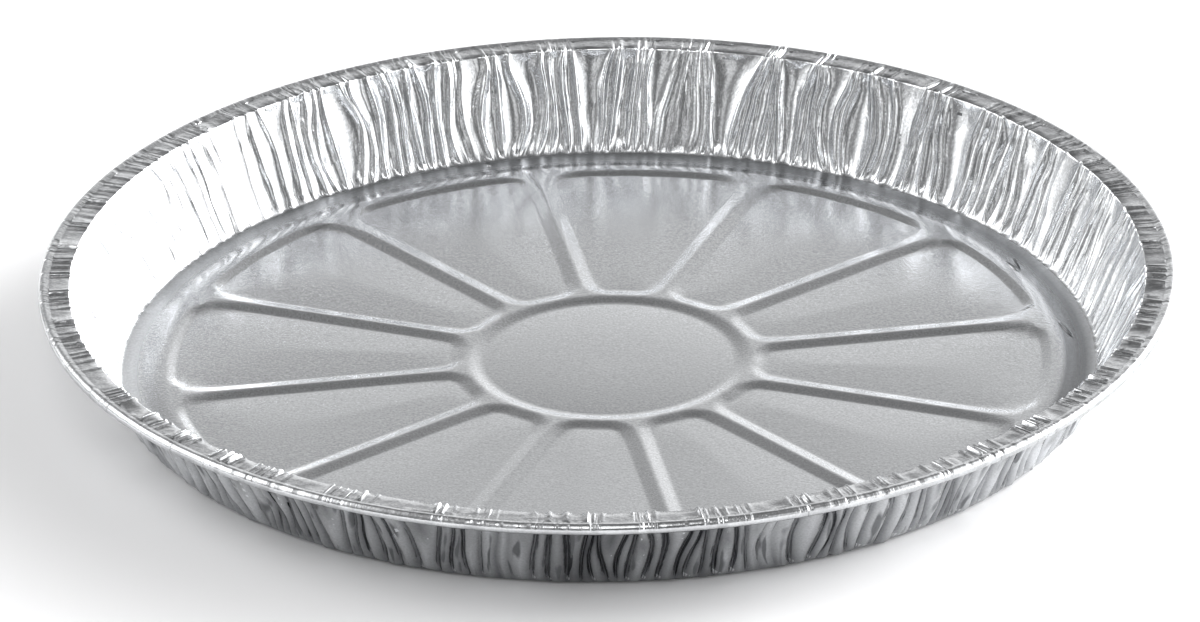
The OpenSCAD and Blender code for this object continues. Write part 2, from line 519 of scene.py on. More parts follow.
@dataclass(frozen=True)
class Creases:
    """Where the wall's creases run, as angles at the foot and what moves them higher up.

    A slow lean has a size in radians, a number of waves round the wall and a phase.
    """

    foot: Array
    pull: Array
    bow: Array
    wave: Array
    size: Array
    start: Array
    fin: Array
    fork: Array
    gathers: Array
    lens_at: Array
    lens_push: Array
    least_gap: float = 0.2
    lens_w: float = math.radians(2.4)
    lens_rise: float = 1.15
    pull_power: float = 1.6
    slow_leans: tuple[tuple[float, float, float], ...] = ((0.011, 3.0, 0.4), (0.008, 7.0, 2.0))

    @classmethod
    def draw(cls, plan: CreasePlan) -> "Creases":
        """Draws the creases.

        Args:
            plan: How they are drawn.

        Returns:
            The creases. Their gaps at the foot vary, and each leans towards
            the nearest bundle by that bundle's own share. The first lens
            lies at the front.
        """
        rng = np.random.default_rng(plan.seed)
        foot = _spread_round(rng.uniform(*plan.gaps, plan.count))
        gathers = _spread_round(rng.uniform(*plan.bundle_gaps, plan.bundles))
        to_bundles = turn_between(gathers[None, :], foot[:, None])
        nearest = np.abs(to_bundles).argmin(axis=1)
        way = np.take_along_axis(to_bundles, nearest[:, None], axis=1)[:, 0]
        sway = plan.sway * 2.0 * np.pi / plan.count
        lens_at = rng.uniform(0.0, 2.0 * np.pi, plan.lenses)
        lens_at[0] = FRONT + plan.front_lens
        return cls(
            foot=foot,
            pull=way * rng.uniform(*plan.pulls, plan.bundles)[nearest],
            bow=rng.uniform(-sway, sway, plan.count),
            wave=rng.uniform(-sway, sway, plan.count) * plan.wave,
            size=rng.uniform(*plan.sizes, plan.count),
            start=rng.uniform(*plan.starts, plan.count),
            fin=rng.uniform(0.0, 1.0, plan.count),
            fork=rng.uniform(0.0, 1.0, plan.count),
            gathers=gathers,
            lens_at=lens_at,
            lens_push=rng.uniform(*plan.lens_pushes, plan.lenses) * plan.lens_push,
        )

    def angles(self, share: float) -> Array:
        """Angles of the creases at one level of the wall.

        Args:
            share: The level as a share of the wall's length, 0 at the foot.

        Returns:
            One angle for a crease. A gap that the pull would close or turn
            round is held at a small least gap, and the rest make room for it.
        """
        sway = self.bow * math.sin(math.pi * share) + self.wave * math.sin(2.0 * math.pi * share)
        lean = sum(size * np.sin(waves * self.foot + phase) for size, waves, phase in self.slow_leans)
        free = self.foot + self.pull * share**self.pull_power + sway + lean * share + self._lens(share)
        gaps = turn_between(np.roll(free, -1), free)
        gaps = np.maximum(gaps, self.least_gap * 2.0 * np.pi / len(free))
        held = free[0] + _spread_round(np.roll(gaps, 1))
        return held + turn_between(free, held).mean()

    def _lens(self, share: float) -> Array:
        """Push of the lenses on the creases beside them.

        Args:
            share: How far up the wall, from 0 to 1.

        Returns:
            x * exp((1 - x^2) / 2) of the turn x from each lens, as a share of
            its width, times a half sine wave up the wall.
        """
        off = turn_between(self.foot[None, :], self.lens_at[:, None]) / self.lens_w
        push = self.lens_push[:, None] * off * np.exp(0.5 - 0.5 * off * off)
        return push.sum(axis=0) * math.sin(math.pi * min(1.0, share * self.lens_rise))


def _spread_round(gaps: Array) -> Array:
    """Angles round a circle whose gaps are in the given proportions."""
    return 2.0 * np.pi * (np.cumsum(gaps) - gaps[0]) / gaps.sum()


@dataclass(frozen=True)
class CalmFacet:
    """A stretch of the wall where the foil stayed almost flat, in degrees round from the front."""

    turn: float
    half_width: float
    depth: float

    def quiet(self, angles: Array) -> Array:
        """Share of the folds' height that is left: 1 - depth * bell of the turn from its middle."""
        off = turn_between(angles, FRONT + math.radians(self.turn))
        return 1.0 - self.depth * bell(off / math.radians(self.half_width))


@dataclass(frozen=True)
class SlantFolds:
    """Low folds that slant across the wall's creases. A pair is the least and the most."""

    count: int = 80
    heights: Range = (0.15, 0.45)
    widths: Range = (0.6, 1.0)
    levels: Range = (0.3, 0.8)
    lengths: Range = (0.12, 0.3)
    lean: float = 7.0
    seed: int = 13

    def lift(self, angles: Array, share: float, radius: float) -> Array:
        """Height of the folds along a ring.

        Args:
            angles: Angles of the ring's points.
            share: How far up the wall the ring lies, from 0 to 1.
            radius: Radius of the ring.

        Returns:
            The sum of bells across straight slanted lines, each of which
            fades by a bell towards its two ends.
        """
        rng = np.random.default_rng(self.seed)
        middle = rng.uniform(0.0, 2.0 * np.pi, self.count)
        height = rng.uniform(*self.heights, self.count)
        width = rng.uniform(*self.widths, self.count)
        lean = rng.normal(0.0, self.lean, self.count)
        level = rng.uniform(*self.levels, self.count)
        length = rng.uniform(*self.lengths, self.count)
        line = middle + lean * (share - level) / radius
        across = turn_between(angles[None, :], line[:, None]) * radius
        fade = bell((share - level) / length)
        return ((height * fade)[:, None] * bell(across / width[:, None])).sum(axis=0)


@dataclass(frozen=True)
class FoldSizes:
    """Sizes of the creases and of the bulges between them.

    Widths and gaps are lengths, crease_h and bulge are shares of a gap, and
    what starts or runs along the wall is a share of the wall's length.
    """

    near_crease: tuple[float, ...] = (0.0, 0.1, 0.27)
    near_gap_most: float = 5.0
    crease_w: float = 0.5
    crease_h: float = 0.24
    crease_h_most: float = 1.0
    bulge: float = 0.34
    bulge_most: float = 1.7
    foot_lead: float = 0.04
    foot_run: float = 0.085
    foot_height: float = 0.7
    head_start: float = 0.8
    head_drop: float = 0.6
    fork_share: float = 0.5
    fork_h: float = 1.1
    fork_w: float = 0.7
    fork_gap: float = 3.6
    fork_gap_run: float = 1.6
    fork_start: float = 0.3
    fork_run: float = 0.35

    @property
    def columns(self) -> int:
        """Number of points of a ring that belong to one crease."""
        return 2 * len(self.near_crease)


@dataclass(frozen=True)
class FoldShade:
    """How much shade is painted into the wall's folds, from 0 for open foil to 1.

    A crease is as dark as fold plus its size times by_size, and side is the
    share of that away from the front. What is named front is painted shade at
    the front alone, by a bell of the turn over front_w, and foot and inner_foot
    are painted shadow at the foot. Reaches are shares of the wall's length.
    """

    fold: float = 0.85
    by_size: float = 0.12
    size_most: float = 1.2
    fold_w: float = 1.0
    fork: float = 0.8
    fork_w: float = 0.8
    start_lead: float = 0.01
    start_run: float = 0.1
    side: float = 0.8
    front_w: float = 0.42
    front_bulges: float = 0.5
    front_flanks: float = 0.45
    ridge: float = 0.35
    ridge_by_chance: float = 0.6
    ridge_w: float = 0.16
    foot: float = 0.5
    foot_reach: float = 0.13
    # Painted shadow on the inner face of the foot, fading up the wall.
    inner_foot: float = 0.3
    inner_reach: float = 0.08
    on_shelf: float = 0.4


@dataclass(frozen=True)
class ShelfFins:
    """The tabs and thin fins on the shelf, where the wall's creases run out over it.

    A crease ends in a tab if its chance for a fin is under tab_share. What is
    named by_size or by_chance is added to the value before it, times the size
    or the fork's chance of the crease.
    """

    creases: Creases
    columns: int
    tab_share: float = 0.36
    tab_h: float = 0.75
    tab_shoulder: float = 0.9
    fin_h: float = 0.34
    fin_shoulder: float = 0.12
    height: float = 0.35
    height_by_size: float = 0.55
    fade: float = 0.25
    fade_by_chance: float = 0.5
    # Painted shade on the shelf between the fins and tabs, darker on the right side.
    shade_amount: float = 0.15
    shade_least: float = 0.55
    shade_by_chance: float = 0.9
    shade_by_side: float = 0.9
    shade_on_fin: float = 0.15
    shade_on_tab: float = 0.1
    shade_by_fin: float = 0.7

    @property
    def is_tab(self) -> Array:
        """Whether each crease ends in a tab and not in a fin."""
        return self.creases.fin < self.tab_share

    def lift(self, across_shelf: float) -> Array:
        """Height of the tabs and fins.

        Args:
            across_shelf: 0 at the wall's head, 1 at the roll.

        Returns:
            The height at each point of the head's ring. A tab is flat on top
            and slopes off on both sides, and a fin is a thin ridge. Both are
            lower towards the roll.
        """
        shape = self.creases
        height = np.where(self.is_tab, self.tab_h, self.fin_h)
        by_size = self.height + self.height_by_size * shape.size
        fade = 1.0 - (self.fade + self.fade_by_chance * shape.fork) * across_shelf
        size = (height * by_size * fade)[:, None]
        shoulder = np.where(self.is_tab, self.tab_shoulder, self.fin_shoulder)[:, None]
        lift = np.zeros((len(size), self.columns))
        lift[:, :1] = size
        lift[:, 1:2] = size * shoulder
        lift[:, -1:] = np.roll(size * shoulder, -1, axis=0)
        return lift.ravel()

    def hollow(self) -> Array:
        """Shade painted on the shelf's upper face between its tabs and fins.

        Returns:
            The painted shade at each point of the head's ring, one for each gap
            between creases, and darker on the right side.
        """
        shape = self.creases
        # Painted shade is darker on the right side.
        by_side = 1.0 + self.shade_by_side * np.cos(shape.foot - VIEW_AZIMUTH)
        shade_amount = self.shade_amount * (self.shade_least + self.shade_by_chance * shape.fork) * by_side
        shade_amount = np.repeat(shade_amount[:, None], self.columns, axis=1)
        beside = np.where(self.is_tab, self.shade_on_tab, self.shade_by_fin)
        shade_amount[:, 0] *= self.shade_on_fin
        shade_amount[:, 1] *= beside
        shade_amount[:, -1] *= np.roll(beside, -1)
        return shade_amount.ravel()


@dataclass
class PleatedWall:
    """The wall, gathered into bulges between sharp creases, and the shelf that they run out over.

    Near the head the foil is crumpled by the share crumple, and by gather_h
    more where creases gather.
    """

    size: TinSize
    plan: CreasePlan = CreasePlan()
    folds: FoldSizes = FoldSizes()
    shade: FoldShade = FoldShade()
    slants: SlantFolds = SlantFolds()
    calm: tuple[CalmFacet, ...] = (
        CalmFacet(171.0, 2.6, 0.78),
        CalmFacet(196.0, 1.4, 0.78),
        CalmFacet(228.0, 1.8, 0.78),
        CalmFacet(118.0, 1.6, 0.7),
        CalmFacet(17.0, 1.3, 0.78),
        CalmFacet(-12.0, 2.2, 0.78),
        CalmFacet(300.0, 1.6, 0.6),
        CalmFacet(92.0, 15.0, 0.5),
        CalmFacet(268.0, 16.0, 0.5),
        CalmFacet(241.0, 12.0, 0.55),
    )
    rows: int = 13
    foot_steps: int = 2
    foot_first: float = 0.3
    head_steps: int = 3
    head_fold: float = 0.12
    margin_inset: float = 3.2
    shelf_rows: tuple[float, ...] = (0.4, 0.68, 0.9)
    # How much shade is painted in the groove beside the roll.
    groove_shade: float = 0.25
    gather_h: float = 0.45
    gather_w: float = 2.2
    crumple: float = 0.25
    crumple_inset: float = 1.5
    crumple_w: float = 2.6

    def __post_init__(self) -> None:
        """Draws the creases and their fins."""
        self.creases = Creases.draw(self.plan)
        self.fins = ShelfFins(self.creases, self.folds.columns)

    def radius(self, share: float) -> float:
        """Radius of the wall at a share of its length."""
        return self.size.base_r + (self.size.head_corner[0] - self.size.base_r) * share

    def spacing(self, share: float) -> tuple[Array, Array, Array]:
        """Where a ring's points lie between the creases.

        Args:
            share: How far up the wall the ring lies, from 0 to 1.

        Returns:
            The points' angles, and their distances to the crease before and
            after them in millimetres, each with a row for a crease. Points
            keep to the creases as these run up the wall.
        """
        radius = self.radius(share)
        crease = self.creases.angles(share)
        gap = turn_between(np.roll(crease, -1), crease) * radius
        room = np.minimum(gap, self.folds.near_gap_most)[:, None]
        near = np.array(self.folds.near_crease)[None, :] * room
        after = np.concatenate([near, gap[:, None] / 2, gap[:, None] - near[:, :0:-1]], axis=1)
        angles = crease[:, None] + after / radius
        return angles, after, gap[:, None] - after

    def fold_height(self, share: float) -> tuple[Array, Array]:
        """Height of the folds above the plain wall, along one ring.

        Args:
            share: How far up the wall the ring lies, from 0 to 1.

        Returns:
            The points' angles and heights. A crease stands inwards and falls
            off on both sides by exp(-distance / width). The foil between two
            creases bulges outwards by a half sine wave, from a rounded end
            of its own above the foot. Wide bulges may have a lower crease of
            their own in their middle, from half way up.
        """
        folds = self.folds
        angles, before, behind = self.spacing(share)
        gap = before + behind
        grow = rise(share, self.creases.start[:, None] - folds.foot_lead, folds.foot_run)
        grow = grow * (folds.foot_height + (1.0 - folds.foot_height) * share)
        mean_gap = 0.5 * (gap[:, :1] + np.roll(gap[:, :1], 1, axis=0))
        size = np.minimum(folds.crease_h * mean_gap, folds.crease_h_most) * self.creases.size[:, None]
        after_size = np.roll(size, -1, axis=0)
        crease = size * np.exp(-before / folds.crease_w) + after_size * np.exp(-behind / folds.crease_w)
        bulge = np.minimum(folds.bulge * gap, folds.bulge_most) * np.sin(np.pi * before / gap)
        from_middle = np.abs(before - gap / 2)
        fork = folds.fork_h * self._forking(gap, share) * np.exp(-from_middle / folds.fork_w)
        at_head = 1.0 - folds.head_drop * rise(share, folds.head_start, 1.0 - folds.head_start)
        lift = grow * at_head * self._quiet(angles) * (crease - bulge + fork)
        flat = angles.ravel()
        return flat, lift.ravel() - at_head * self.slants.lift(flat, share, self.radius(share))

    def _quiet(self, angles: Array) -> Array:
        """Share of the folds' height that the calmest facet near each angle leaves."""
        return np.min([facet.quiet(angles) for facet in self.calm], axis=0)

    def _forking(self, gap: Array, share: float) -> Array:
        """How far the lower creases in the middle of wide bulges have risen.

        Args:
            gap: Widths of the bulges.
            share: How far up the wall the ring lies, from 0 to 1.

        Returns:
            A share from 0 to 1 for each bulge, which is 0 where none was drawn.
        """
        folds = self.folds
        chosen = (self.creases.fork < folds.fork_share)[:, None]
        widened = rise(gap, folds.fork_gap, folds.fork_gap_run)
        return chosen * widened * rise(share, folds.fork_start, folds.fork_run)

    def crumpled(self, points: Array) -> Array:
        """How crumpled the foil is near the head.

        Args:
            points: The points that are asked for.

        Returns:
            A bell round the head's circle, higher by a bell at each place
            where creases gather.
        """
        head_r = self.size.head_corner[0]
        angle = np.arctan2(points[:, 1], points[:, 0])
        r = np.hypot(points[:, 0], points[:, 1])
        at_head = bell((r - head_r - self.crumple_inset) / self.crumple_w)
        away = np.abs(turn_between(angle[None, :], self.creases.gathers[:, None])).min(axis=0)
        return at_head * (self.crumple + self.gather_h * bell(away * head_r / self.gather_w))

    def hollow(self, share: float) -> Array:
        """How much shade is painted on each point of a ring of the outer face.

        Args:
            share: How far up the wall the ring lies, from 0 to 1.

        Returns:
            exp(-distance / width) from the creases, each with a shade of its
            own, fading out towards the foot and in the calm facets. Some
            bulges are painted darker than others as a whole, and all of them
            get a painted shadow right above the foot. The painted shade is
            deepest at the front, where only the ridges of the bulges stay light.
        """
        shade = self.shade
        angles, before, behind = self.spacing(share)
        gap = before + behind
        deep = shade.fold + shade.by_size * np.minimum(self.creases.size[:, None], shade.size_most)
        near = deep * np.exp(-before / shade.fold_w)
        near = near + np.roll(deep, -1, axis=0) * np.exp(-behind / shade.fold_w)
        from_middle = np.abs(before - gap / 2)
        near = near + shade.fork * self._forking(gap, share) * np.exp(-from_middle / shade.fork_w)
        grow = rise(share, self.creases.start[:, None] - shade.start_lead, shade.start_run)
        folds = grow * self._quiet(angles) * np.minimum(near, 1.0)
        # Painted shade: bulges and their flanks are darker at the front, where only the ridges stay light.
        front = bell(turn_between(angles, FRONT) / shade.front_w)
        folds = (shade.side + (1.0 - shade.side) * front) * folds
        chance = np.roll(self.creases.fork, 1)[:, None]
        chance = chance + (np.roll(chance, -1, axis=0) - chance) * before / gap
        bulges = shade.front_bulges * front * chance**2
        # Painted shadow on the outer face right above the foot.
        at_foot = shade.foot * math.exp(-share / shade.foot_reach)
        ridge_h = shade.ridge + shade.ridge_by_chance * self.creases.fin[:, None]
        ridge = ridge_h * bell((before / gap - 0.5) / shade.ridge_w)
        flanks = shade.front_flanks * front * (1.0 - ridge)
        return (1.0 - (1.0 - folds) * (1.0 - bulges) * (1.0 - at_foot) * (1.0 - flanks)).ravel()

    def margin_angles(self) -> Array:
        """Angles of the points where the wall leaves the floor."""
        return self.spacing(0.0)[0].ravel()

    def head_angles(self) -> Array:
        """Angles of the points along the wall's head."""
        return self.spacing(1.0)[0].ravel()

    def lay(self, skin: Skin) -> None:
        """Adds the rings of the margin's edge, the foot, the wall, its head and the shelf.

        Args:
            skin: The skin that the rings are added to.
        """
        size = self.size
        level = np.array([1.0, 0.0])
        foot_r = size.foot_r - size.foil_t
        foot = bend(size.foot_corner, size.margin_dir, size.wall_dir, foot_r, self.foot_steps)
        head = bend(size.head_corner, size.wall_dir, level, size.head_r, self.head_steps)
        along = np.linspace(0.0, 1.0, self.rows + 1)[1:-1, None]
        self._lay_foot(skin, foot)
        self._lay_wall(skin, foot[-1] + (head[0] - foot[-1]) * along)
        self._lay_head(skin, head)
        self._lay_shelf(skin, head[-1])

    def _lay_foot(self, skin: Skin, foot: Array) -> None:
        """Adds a ring at the margin's edge and those of the foot, over which the folds grow evenly.

        Args:
            skin: The skin that the rings are added to.
            foot: The foot's rounded section.
        """
        size = self.size
        margin_r = size.foot_corner[0] - self.margin_inset
        margin = np.array([margin_r, size.foil_t + size.margin_height(margin_r)])
        angles = self.margin_angles()
        plain = ring_of(margin, np.zeros_like(angles), np.array([1.0, 0.0]), angles)
        # Painted shade on the margin's edge, darker on the right side.
        skin.add(plain, above=size.margin_painted_shade(angles))
        for k, point in enumerate(foot):
            angles, lift = self.fold_height(self._share(point))
            grown = (k + self.foot_first) / len(foot)
            ring = ring_of(point, lift * grown, quarter_turn(size.wall_dir), angles)
            # Painted shade: the folds' shade on the outer face and a painted shadow on the inner face.
            skin.add(ring, self.hollow(0.0), self.shade.inner_foot)

    def _lay_wall(self, skin: Skin, wall: Array) -> None:
        """Adds the rings of the straight part of the wall.

        Args:
            skin: The skin that the rings are added to.
            wall: The wall's section.
        """
        for point in wall:
            share = self._share(point)
            angles, lift = self.fold_height(share)
            # Painted shadow on the inner face, darkest at the foot.
            dull_and_shade = self.shade.inner_foot * math.exp(-share / self.shade.inner_reach)
            ring = ring_of(point, lift, quarter_turn(self.size.wall_dir), angles)
            skin.add(ring, self.hollow(share), dull_and_shade)

    def _lay_head(self, skin: Skin, head: Array) -> None:
        """Adds the rings of the head, over which the folds give way to the fins.

        Args:
            skin: The skin that the rings are added to.
            head: The head's rounded section.
        """
        inward = quarter_turn(self.size.wall_dir)
        up = np.array([0.0, 1.0])
        angles, fold = self.fold_height(1.0)
        for k, point in enumerate(head):
            t = k / (len(head) - 1)
            facing = (1.0 - t) * inward + t * up
            facing = facing / np.hypot(facing[0], facing[1])
            lift = fold * (1.0 - t) + t * (self.head_fold * fold + self.fins.lift(0.0))
            # Painted shade: the folds' shade fades onto the shelf's lower face, and shade is painted
            # between the fins on its upper face.
            hollow = self.hollow(1.0) * (1.0 - (1.0 - self.shade.on_shelf) * t)
            shade_amount = self.fins.hollow() if t == 1.0 else 0.0
            skin.add(ring_of(point, lift, facing, angles), hollow, shade_amount)

    def _lay_shelf(self, skin: Skin, start: Array) -> None:
        """Adds the rings of the shelf, the last of them in the groove beside the roll.

        Args:
            skin: The skin that the rings are added to.
            start: Where the head ends in the section.
        """
        size = self.size
        end = size.head_corner + np.array([size.shelf_w, 0.0])
        angles, fold = self.fold_height(1.0)
        for t in self.shelf_rows:
            lift = self.fins.lift(t) + self.head_fold * (1.0 - t) * fold
            # Painted shade in the groove beside the roll.
            groove = self.groove_shade if t == self.shelf_rows[-1] else 0.0
            ring = ring_of(start + (end - start) * t, lift, np.array([0.0, 1.0]), angles)
            shade_amount = np.maximum(self.fins.hollow(), groove)
            skin.add(ring, self.shade.on_shelf * self.hollow(1.0), shade_amount)

    def _share(self, point: Array) -> float:
        """How far up the wall a point of its section lies, from 0 to 1."""
        share = float((point - self.size.foot_corner) @ self.size.wall_dir) / self.size.wall_length
        return min(max(share, 0.0), 1.0)


def ring_of(point: Array, lift: Array, facing: Array, angles: Array) -> Array:
    """A ring about the axis.

    Args:
        point: Its place in the section, as radius and height.
        lift: How far each of its points stands off that place.
        facing: The direction of the lift in the section.
        angles: Angles of its points.

    Returns:
        The points, as an array of triples.
    """
    r = point[0] + lift * facing[0]
    z = point[1] + lift * facing[1]
    return np.stack([r * np.cos(angles), r * np.sin(angles), z], axis=1)


@dataclass
class RolledRim:
    """The edge of the sheet, rolled outwards and under into a bead.

    A ring has one point for every few of the wall's. Fins stand on the roll's
    first steps and leave small dents on the rest, and shade is painted on its
    outer side and underside.
    """

    size: TinSize
    wall: PleatedWall
    every: int = 3
    steps: int = 9
    fade_steps: float = 2.0
    fin_share: float = 0.7
    fin_most: float = 0.3
    dent_share: float = 0.25
    # Painted shade on the roll's outer side and underside.
    shade_amount: float = 0.3
    shade_least: float = 0.5
    shade_start: float = 1.5
    shade_steps: float = 2.0

    def lay(self, skin: Skin) -> None:
        """Adds the rings of the roll, with small dents where fins run into it.

        Args:
            skin: The skin that the rings are added to.
        """
        size = self.size
        angles = self.wall.head_angles()[:: self.every]
        fins = self.wall.fins.lift(1.0)[:: self.every]
        per_crease = self.wall.folds.columns // self.every
        shade_amounts = self.shade_amount * (self.shade_least + np.repeat(self.wall.creases.fork, per_crease))
        turns = size.roll_start - np.linspace(0.0, size.roll_turn, self.steps + 1)
        for k, turn in enumerate(turns):
            outwards = np.array([math.cos(turn), math.sin(turn)])
            fade = math.exp(-k / self.fade_steps)
            lift = np.minimum(self.fin_share * fins * fade, self.fin_most)
            lift = lift - self.dent_share * (1.0 - fade) * fins
            point = size.roll_centre + size.roll_r * outwards
            # Painted shade on the roll's outer side and underside, growing after its first steps.
            shade_amount = shade_amounts * rise(k, self.shade_start, self.shade_steps)
            skin.add(ring_of(point, lift, outwards, angles), above=shade_amount)


@dataclass
class FoilSheet:
    """The whole sheet: both faces, closed along the rolled edge.

    The wall's marks begin drawn_lead inside the foot and are whole after
    drawn_run, and the outer face's mark ends head_lead outside the head.
    """

    size: TinSize
    drawn_lead: float = 1.5
    drawn_run: float = 3.0
    head_lead: float = 0.5
    head_run: float = 1.0
    margin_inset: float = 2.6
    margin_spread: float = 3.0

    def __post_init__(self) -> None:
        """Makes the parts of the sheet."""
        self.floor = RibbedFloor(self.size)
        self.wall = PleatedWall(self.size)
        self.rim = RolledRim(self.size, self.wall)

    def build(self) -> bpy.types.Object:
        """Makes the sheet's mesh object.

        Returns:
            The object, whose lower face lies a foil's thickness under the
            upper one, along the normals.
        """
        skin = Skin()
        self.floor.lay(skin, self.wall.margin_angles())
        self.wall.lay(skin)
        self.rim.lay(skin)
        upper = np.concatenate(skin.rings)
        quads, tris = skin.faces()
        lower = upper - self.size.foil_t * self._normals(upper, quads, tris)
        count = len(upper)
        edge = skin.starts()[-1] + np.arange(len(skin.rings[-1]))
        after = np.roll(edge, -1)
        closing = np.stack([edge, edge + count, after + count, after], 1)
        all_quads = np.concatenate([quads, quads[:, ::-1] + count, closing])
        all_tris = np.concatenate([tris, tris[:, ::-1] + count])
        mesh = self._mesh("foil_sheet", np.concatenate([upper, lower]) * MM, all_quads, all_tris)
        self._mark(mesh, skin)
        sheet = bpy.data.objects.new("foil_sheet", mesh)
        bpy.context.scene.collection.objects.link(sheet)
        return sheet

    @staticmethod
    def _normals(points: Array, quads: Faces, tris: Faces) -> Array:
        """Unit normals at the points.

        Args:
            points: The points of one face of the sheet.
            quads: Numbers of the points of its quads.
            tris: Numbers of the points of its triangles.

        Returns:
            The sum of the normals of the faces round each point, each as
            long as its face is large, brought to length 1.
        """
        total = np.zeros_like(points)
        a, b, c, d = (points[quads[:, k]] for k in range(4))
        across = np.cross(c - a, d - b)
        for k in range(4):
            np.add.at(total, quads[:, k], across)
        a, b, c = (points[tris[:, k]] for k in range(3))
        across = np.cross(b - a, c - a)
        for k in range(3):
            np.add.at(total, tris[:, k], across)
        return total / np.linalg.norm(total, axis=1, keepdims=True)

    @staticmethod
    def _mesh(name: str, points: Array, quads: Faces, tris: Faces) -> bpy.types.Mesh:
        """Makes a mesh from arrays.

        Args:
            name: Its name.
            points: Places of its points in metres.
            quads: Numbers of the points of its quads.
            tris: Numbers of the points of its triangles.

        Returns:
            The mesh, shaded smooth.
        """
        mesh = bpy.data.meshes.new(name)
        mesh.vertices.add(len(points))
        mesh.vertices.foreach_set("co", points.astype(np.float32).ravel())
        corners = np.concatenate([quads.ravel(), tris.ravel()])
        mesh.loops.add(len(corners))
        mesh.loops.foreach_set("vertex_index", corners.astype(np.int32))
        sizes = np.concatenate([np.full(len(quads), 4), np.full(len(tris), 3)])
        starts = np.concatenate([[0], np.cumsum(sizes)[:-1]])
        mesh.polygons.add(len(sizes))
        mesh.polygons.foreach_set("loop_start", starts.astype(np.int32))
        mesh.polygons.foreach_set("use_smooth", np.ones(len(sizes), dtype=bool))
        mesh.update(calc_edges=True)
        mesh.validate()
        return mesh

    def _mark(self, mesh: bpy.types.Mesh, skin: Skin) -> None:
        """Gives each point what the finish reads.

        UNROLLED is the place on a straightened wall, so a pattern on it has no
        seam and runs along the creases. DRAWN is 0 on the flat floor and 1 on
        the wall, OUTER is 1 on the wall's outer face alone, and MARGIN is 1
        where the floor's margin was rubbed dull by the press. CRUMPLED says how
        much the foil is crumpled, and the last mark how much shade is painted
        on a point, most in the folds, on the right of the margin, between the
        fins and under the roll.

        Args:
            mesh: The sheet's mesh.
            skin: Its rings.
        """
        size = self.size
        upper = np.concatenate(skin.rings)
        r = np.hypot(upper[:, 0], upper[:, 1])
        unrolled = np.concatenate([self._unrolled(ring) for ring in skin.rings]) * MM
        drawn = rise(r, size.base_r - self.drawn_lead, self.drawn_run)
        outer_end = size.head_corner[0] + self.head_lead - self.head_run
        outer = drawn * (1.0 - rise(r, outer_end, self.head_run))
        margin = bell((r - size.base_r + self.margin_inset) / self.margin_spread)
        crumpled = self.wall.crumpled(upper)
        self._store(mesh, PointMark.UNROLLED, unrolled, unrolled)
        self._store(mesh, PointMark.DRAWN, drawn, drawn)
        self._store(mesh, PointMark.OUTER, np.zeros_like(outer), outer)
        self._store(mesh, PointMark.MARGIN, margin, margin)
        self._store(mesh, PointMark.CRUMPLED, crumpled, crumpled)
        self._store(mesh, PointMark.PAINTED_SHADE, np.concatenate(skin.above), np.concatenate(skin.below))

    def _unrolled(self, ring: Array) -> Array:
        """Places of a ring's points on a straightened wall.

        Args:
            ring: The points.

        Returns:
            Each place lies on a round wall as wide as the foot, above the
            foot of the point's own crease, and as high as the ring's mean
            radius and height together.
        """
        foot = self.wall.margin_angles()
        around = np.arctan2(ring[:, 1], ring[:, 0])
        if len(ring) in (len(foot), len(foot) // self.rim.every):
            around = foot[:: len(foot) // len(ring)]
        length = float(np.hypot(ring[:, 0], ring[:, 1]).mean()) + float(ring[:, 2].mean())
        x, y = self.size.base_r * np.cos(around), self.size.base_r * np.sin(around)
        return np.stack([x, y, np.full(len(ring), length)], axis=1)

    @staticmethod
    def _store(mesh: bpy.types.Mesh, mark: PointMark, above: Array, below: Array) -> None:
        """Stores a mark of every point, which is a number or a place.

        Args:
            mesh: The sheet's mesh.
            mark: What is stored.
            above: Its values on the upper face.
            below: Its values on the lower face.
        """
        values = np.concatenate([above, below]).astype(np.float32)
        kind, part = ("FLOAT", "value") if values.ndim == 1 else ("FLOAT_VECTOR", "vector")
        mesh.attributes.new(mark.value, kind, "POINT").data.foreach_set(part, values.ravel())


@dataclass(frozen=True)
class PressMark:
    """A small long mark pressed up from the floor, in millimetres and degrees."""

    x: float
    y: float
    turn: float
    half_length: float
    half_width: float = 0.9

    def add_to(self, tree: bpy.types.NodeTree, place: Socket) -> Socket:
        """Adds the mark's height to a material.

        Args:
            tree: The material's nodes.
            place: The place on the sheet.

        Returns:
            The socket of the height, from 1 in the mark's middle to 0 on the
            ellipse round it.
        """
        local = tree.nodes.new("ShaderNodeMapping")
        local.vector_type = "TEXTURE"
        local.inputs["Location"].default_value = (self.x * MM, self.y * MM, 0.0)
        local.inputs["Rotation"].default_value = (0.0, 0.0, math.radians(self.turn))
        local.inputs["Scale"].default_value = (self.half_length * MM, self.half_width * MM, 1.0)
        tree.links.new(place, local.inputs["Vector"])
        away = tree.nodes.new("ShaderNodeVectorMath")
        away.operation = "LENGTH"
        tree.links.new(local.outputs["Vector"], away.inputs[0])
        height = tree.nodes.new("ShaderNodeMapRange")
        height.interpolation_type = "SMOOTHSTEP"
        height.inputs["To Min"].default_value = 1.0
        height.inputs["To Max"].default_value = 0.0
        tree.links.new(away.outputs["Value"], height.inputs["Value"])
        return height.outputs["Result"]


